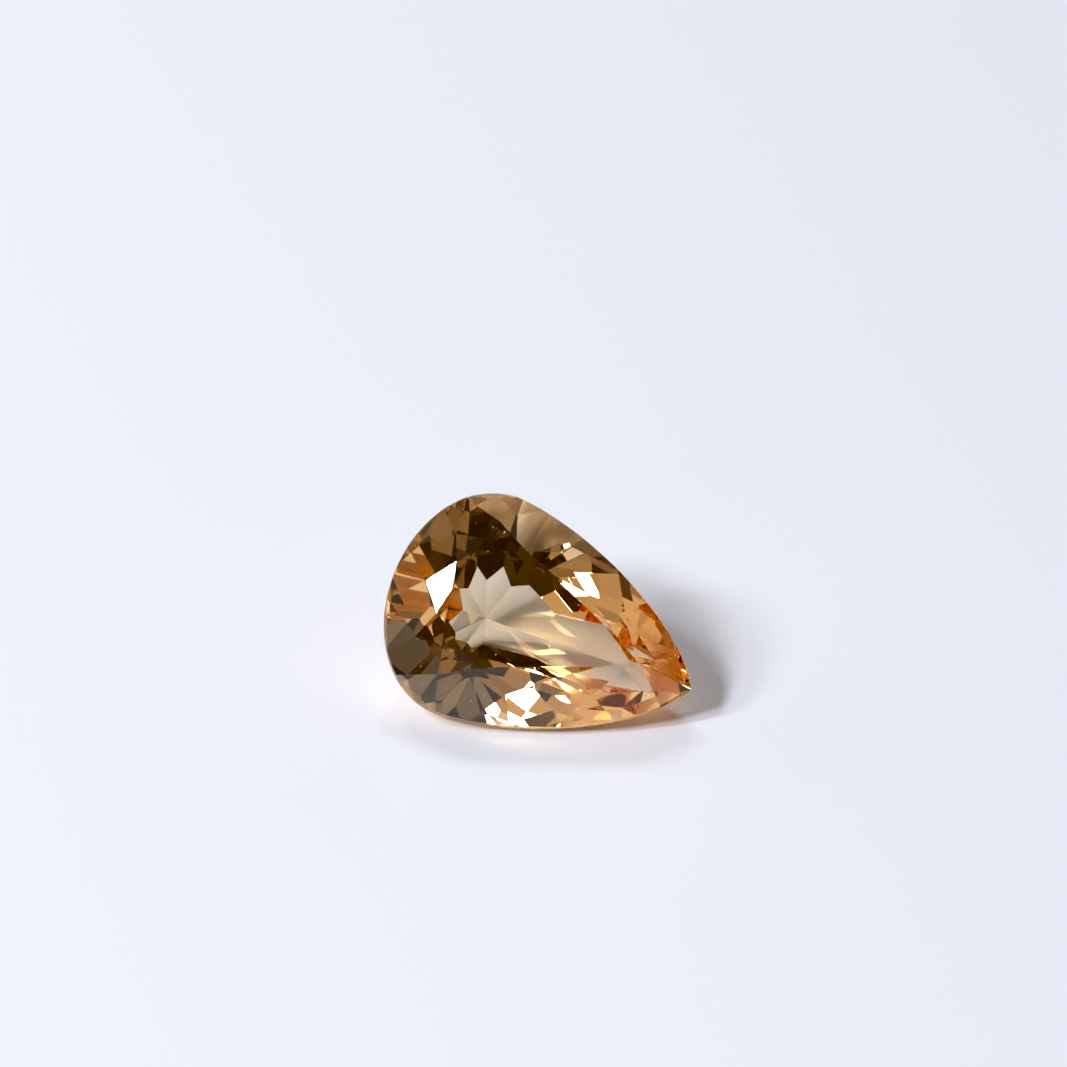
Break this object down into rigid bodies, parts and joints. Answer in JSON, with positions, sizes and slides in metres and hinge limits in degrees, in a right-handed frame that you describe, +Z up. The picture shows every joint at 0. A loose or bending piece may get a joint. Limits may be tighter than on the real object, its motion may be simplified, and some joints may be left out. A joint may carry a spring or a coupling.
{
  "type": "cut gemstone",
  "caption": "Loose pear-cut imperial topaz, a transparent golden-orange stone with flat facets, lying on its pavilion.",
  "frame": {"origin": "centre of the footprint of the bounding box, at the level of the surface that the stone lies on", "axes": "+Z up with the stone lying on one pavilion facet, +X along its length towards its point, -Y the side that its table faces"},
  "size_m": [0.0092, 0.0054, 0.0053],
  "materials": {
    "topaz": "polished"
  },
  "bodies": {
    "root": {"topaz_stone": "topaz"}
  },
  "joints": []
}
